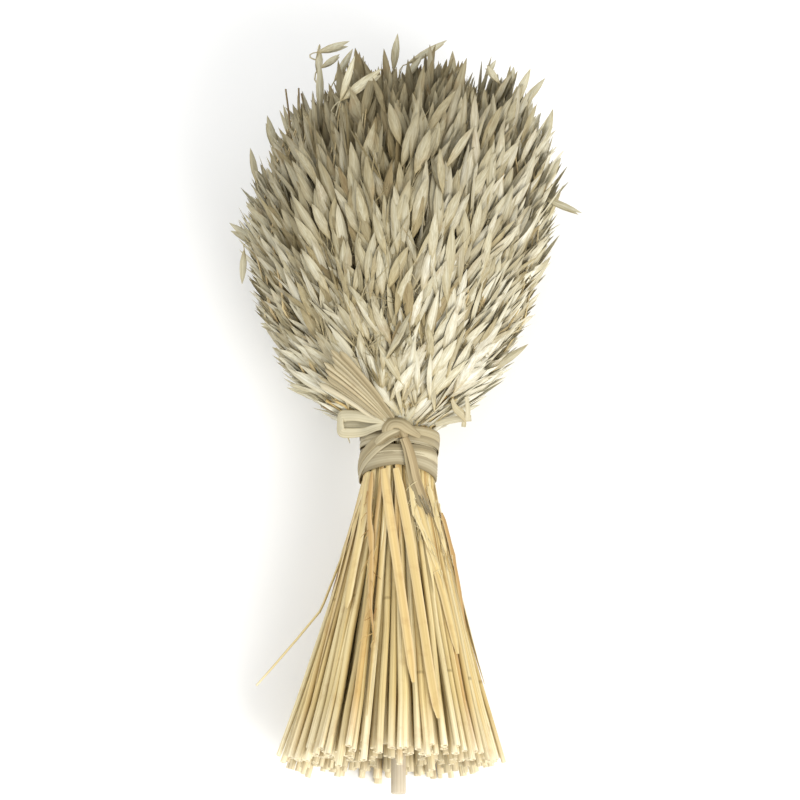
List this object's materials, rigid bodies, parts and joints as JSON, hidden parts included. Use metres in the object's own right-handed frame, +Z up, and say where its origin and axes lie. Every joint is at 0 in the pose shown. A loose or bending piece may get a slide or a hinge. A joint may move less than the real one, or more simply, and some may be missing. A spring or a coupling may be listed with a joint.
{
  "type": "bundle of dried oats",
  "caption": "Sheaf of dried oat stalks lying on its side, tied at the waist with strips of leaf around a wooden stick, with full nodding ears above and a flared fan of cut straws below.",
  "frame": {"origin": "middle of the footprint on the surface it lies on", "axes": "+Y along the sheaf from the cut ends to the ear tips, +X to the right as seen from above with the ears at the top, +Z up, out of the side with the knot"},
  "size_m": [0.1994, 0.4326, 0.16],
  "materials": {
    "oat_husk": "dry papery husk, pale greenish beige, matte",
    "straw": "dry golden straw, soft satin along the fibre",
    "stick_wood": "bare pale wood, fine grain, matte",
    "leaf_tie": "dry ribbed leaf, greyish tan, matte",
    "dry_leaf": "dry pale leaf, matte"
  },
  "bodies": {
    "root": {"centre_stick": "stick_wood", "inner_stalks_01": "oat_husk", "inner_stalks_02": "oat_husk", "inner_stalks_03": "oat_husk", "inner_stalks_04": "oat_husk", "inner_stalks_05": "oat_husk", "inner_stalks_06": "oat_husk", "inner_stalks_07": "oat_husk", "inner_stalks_08": "oat_husk", "middle_stalks_01": "oat_husk", "middle_stalks_02": "oat_husk", "middle_stalks_03": "oat_husk", "middle_stalks_04": "oat_husk", "middle_stalks_05": "oat_husk", "middle_stalks_06": "oat_husk", "middle_stalks_07": "oat_husk", "middle_stalks_08": "oat_husk", "middle_stalks_09": "oat_husk", "middle_stalks_10": "oat_husk", "middle_stalks_11": "oat_husk", "middle_stalks_12": "oat_husk", "middle_stalks_13": "oat_husk", "middle_stalks_14": "oat_husk", "middle_stalks_15": "oat_husk", "middle_stalks_16": "oat_husk", "outer_stalks_01": "oat_husk", "outer_stalks_02": "oat_husk", "outer_stalks_03": "oat_husk", "outer_stalks_04": "oat_husk", "outer_stalks_05": "oat_husk", "outer_stalks_06": "oat_husk", "outer_stalks_07": "oat_husk", "outer_stalks_08": "oat_husk", "outer_stalks_09": "oat_husk", "outer_stalks_10": "oat_husk", "outer_stalks_11": "oat_husk", "outer_stalks_12": "oat_husk", "outer_stalks_13": "oat_husk", "outer_stalks_14": "oat_husk", "outer_stalks_15": "oat_husk", "outer_stalks_16": "oat_husk", "outer_stalks_17": "oat_husk", "outer_stalks_18": "oat_husk", "outer_stalks_19": "oat_husk", "outer_stalks_20": "oat_husk", "outer_stalks_21": "oat_husk", "outer_stalks_22": "oat_husk", "outer_stalks_23": "oat_husk", "outer_stalks_24": "oat_husk", "stray_straw": "straw", "tie_lower_band": "leaf_tie", "tie_upper_band": "leaf_tie", "tie_over_wrap": "leaf_tie", "tie_knot": "leaf_tie", "tie_tail": "leaf_tie", "tie_fan": "leaf_tie", "leaf_fold_left": "dry_leaf", "leaf_fold_right": "dry_leaf"}
  },
  "joints": []
}
